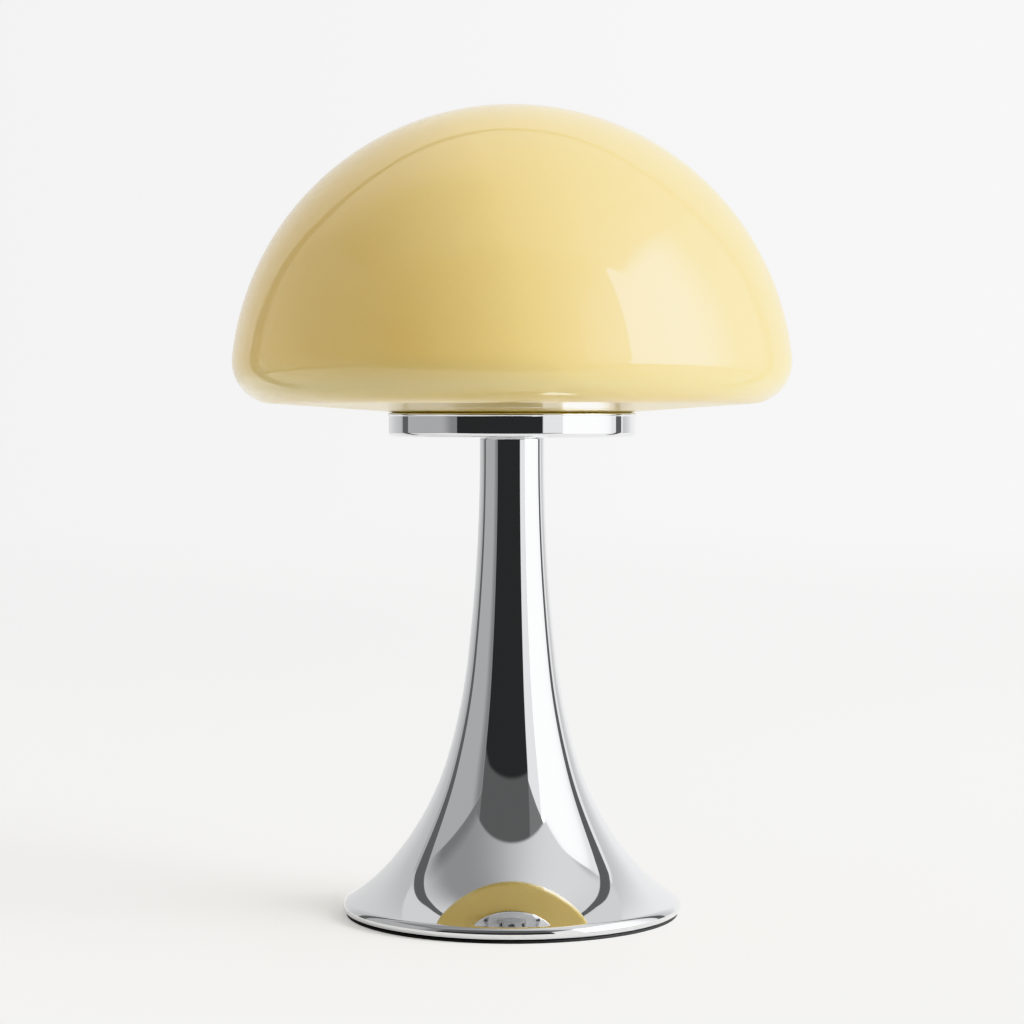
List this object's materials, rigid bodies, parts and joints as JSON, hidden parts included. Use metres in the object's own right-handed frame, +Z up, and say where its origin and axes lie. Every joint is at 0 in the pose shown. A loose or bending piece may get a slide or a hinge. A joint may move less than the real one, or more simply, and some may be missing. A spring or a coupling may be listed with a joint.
{
  "type": "mushroom table lamp",
  "caption": "Table lamp with a domed glossy opal glass shade resting in a chrome dish on a spun trumpet stem with a flared, weighted foot.",
  "frame": {"origin": "centre of the foot's rubber ring, on the surface that the lamp stands on", "axes": "+Z up along the lamp's axis, -Y towards the viewer, +Y towards the lead's inlet at the back"},
  "size_m": [0.2986, 0.2986, 0.4324],
  "materials": {
    "chrome": "polished chrome plate",
    "yellow_glass": "glossy butter-yellow cased opal glass",
    "black_rubber": "matt black rubber",
    "silicone": "translucent white silicone",
    "zinc_plate": "zinc-plated steel",
    "cast_iron": "black-painted rough casting",
    "brass": "plain brass",
    "black_plastic": "moulded thermoset, satin",
    "white_plastic": "moulded white plastic",
    "ceramic": "unglazed steatite",
    "nickel": "nickel-plated screw cap",
    "solder": "soft solder",
    "black_glass": "black insulating glass",
    "opal_globe": "frosted opal",
    "led_aluminium": "white-coated aluminium board",
    "led_phosphor": "yellow phosphor",
    "circuit_board": "green circuit board"
  },
  "bodies": {
    "lamp_base": {"base_pad": "black_rubber", "base_plate": "zinc_plate", "base_screws": "zinc_plate", "base_weight": "cast_iron", "earth_washer": "brass", "earth_screw": "brass", "cord_inlet": "black_rubber", "stem_shell": "chrome", "threaded_tube": "zinc_plate", "tube_bush": "white_plastic", "lower_nut": "zinc_plate", "lower_lock_washer": "zinc_plate", "lower_washer": "zinc_plate", "gallery": "chrome", "gallery_gasket": "silicone", "upper_washer": "zinc_plate", "upper_nut": "zinc_plate", "holder_cap": "black_plastic", "holder_lock_screw": "zinc_plate", "holder_insert": "ceramic", "holder_sleeve": "black_plastic", "holder_shell": "brass", "centre_contact": "brass", "terminals": "brass", "terminal_screws": "zinc_plate"},
    "shade": {"shade_glass": "yellow_glass"},
    "bulb_contact": {"bulb_tip": "solder"},
    "bulb": {"bulb_insulator": "black_glass", "bulb_screw_cap": "nickel", "bulb_housing": "white_plastic", "bulb_globe": "opal_globe", "led_board": "led_aluminium", "led_chips": "led_phosphor", "driver_board": "circuit_board"}
  },
  "joints": [
    {"name": "shade_lift", "type": "slide", "parent": "lamp_base", "child": "shade", "axis": [0, 0, 1], "range_m": [0, 0.18]},
    {"name": "bulb_rise", "type": "slide", "parent": "lamp_base", "child": "bulb_contact", "axis": [0, 0, 1], "range_m": [0, 0.01815]},
    {"name": "bulb_turn", "type": "hinge", "parent": "bulb_contact", "child": "bulb", "pos_m": [0, 0, 0.2901], "axis": [0, 0, 1], "range_deg": [0, 1800]}
  ],
  "couplings": [
    {"joint": "bulb_rise", "follows": "bulb_turn", "m_per_rad": 0.00057757}
  ]
}
